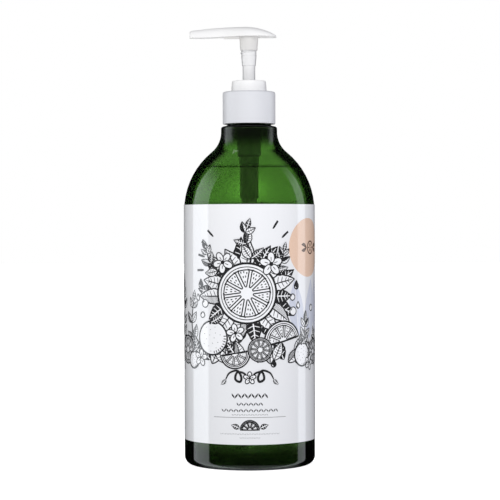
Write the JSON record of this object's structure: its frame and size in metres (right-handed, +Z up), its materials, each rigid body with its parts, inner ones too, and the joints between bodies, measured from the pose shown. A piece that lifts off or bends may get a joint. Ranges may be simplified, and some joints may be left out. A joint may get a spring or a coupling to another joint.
{
  "type": "dish soap bottle",
  "caption": "Tall round green bottle of dish soap with a white wrap label, a smooth white screw closure and a long-nosed press pump that can be turned, pressed and unscrewed.",
  "frame": {"origin": "centre of the circle that the bottle stands on", "axes": "+Z up along the bottle's axis, the spout points along -X, the front of the label faces -Y"},
  "size_m": [0.0766, 0.0767, 0.2553],
  "materials": {
    "green_bottle": "clear green, glossy",
    "label_paper": "smooth white film with print",
    "soap": "clear liquid",
    "white_plastic": "white, satin",
    "natural_plastic": "milky, translucent",
    "tube_plastic": "translucent",
    "piston_plastic": "waxy",
    "foam": "foam sheet",
    "spring_wire": "drawn wire",
    "ball_steel": "polished",
    "ball_glass": "polished"
  },
  "bodies": {
    "bottle": {"bottle": "green_bottle", "label": "label_paper", "liquid_soap": "soap"},
    "pump": {"pump_housing": "natural_plastic", "locking_collar": "white_plastic", "neck_gasket": "foam", "dip_tube": "tube_plastic", "return_spring": "spring_wire"},
    "closure": {"closure": "white_plastic"},
    "piston": {"piston": "piston_plastic"},
    "head": {"pump_head": "white_plastic", "pump_stem": "natural_plastic"},
    "inlet_ball": {"inlet_ball": "ball_steel"},
    "outlet_ball": {"outlet_ball": "ball_glass"}
  },
  "joints": [
    {"name": "pump_lift", "type": "slide", "parent": "bottle", "child": "pump", "axis": [0, 0, 1], "range_m": [0, 0.00634]},
    {"name": "closure_turn", "type": "hinge", "parent": "pump", "child": "closure", "pos_m": [0, 0, 0.208], "axis": [0, 0, 1], "range_deg": [0, 540]},
    {"name": "pump_stroke", "type": "slide", "parent": "pump", "child": "piston", "axis": [0, 0, -1], "range_m": [0, 0.015], "stiffness_N_per_m": 700, "springref_m": -0.004, "deforming": ["return_spring"]},
    {"name": "head_swivel", "type": "hinge", "parent": "piston", "child": "head", "pos_m": [0, 0, 0.24], "axis": [0, 0, 1], "continuous": true},
    {"name": "inlet_ball_lift", "type": "slide", "parent": "pump", "child": "inlet_ball", "axis": [0, 0, 1], "range_m": [0, 0.0022]},
    {"name": "outlet_ball_lift", "type": "slide", "parent": "head", "child": "outlet_ball", "axis": [0, 0, 1], "range_m": [0, 0.0019]}
  ],
  "couplings": [
    {"joint": "closure_turn", "follows": "pump_lift", "rad_per_m": 1485.4}
  ]
}
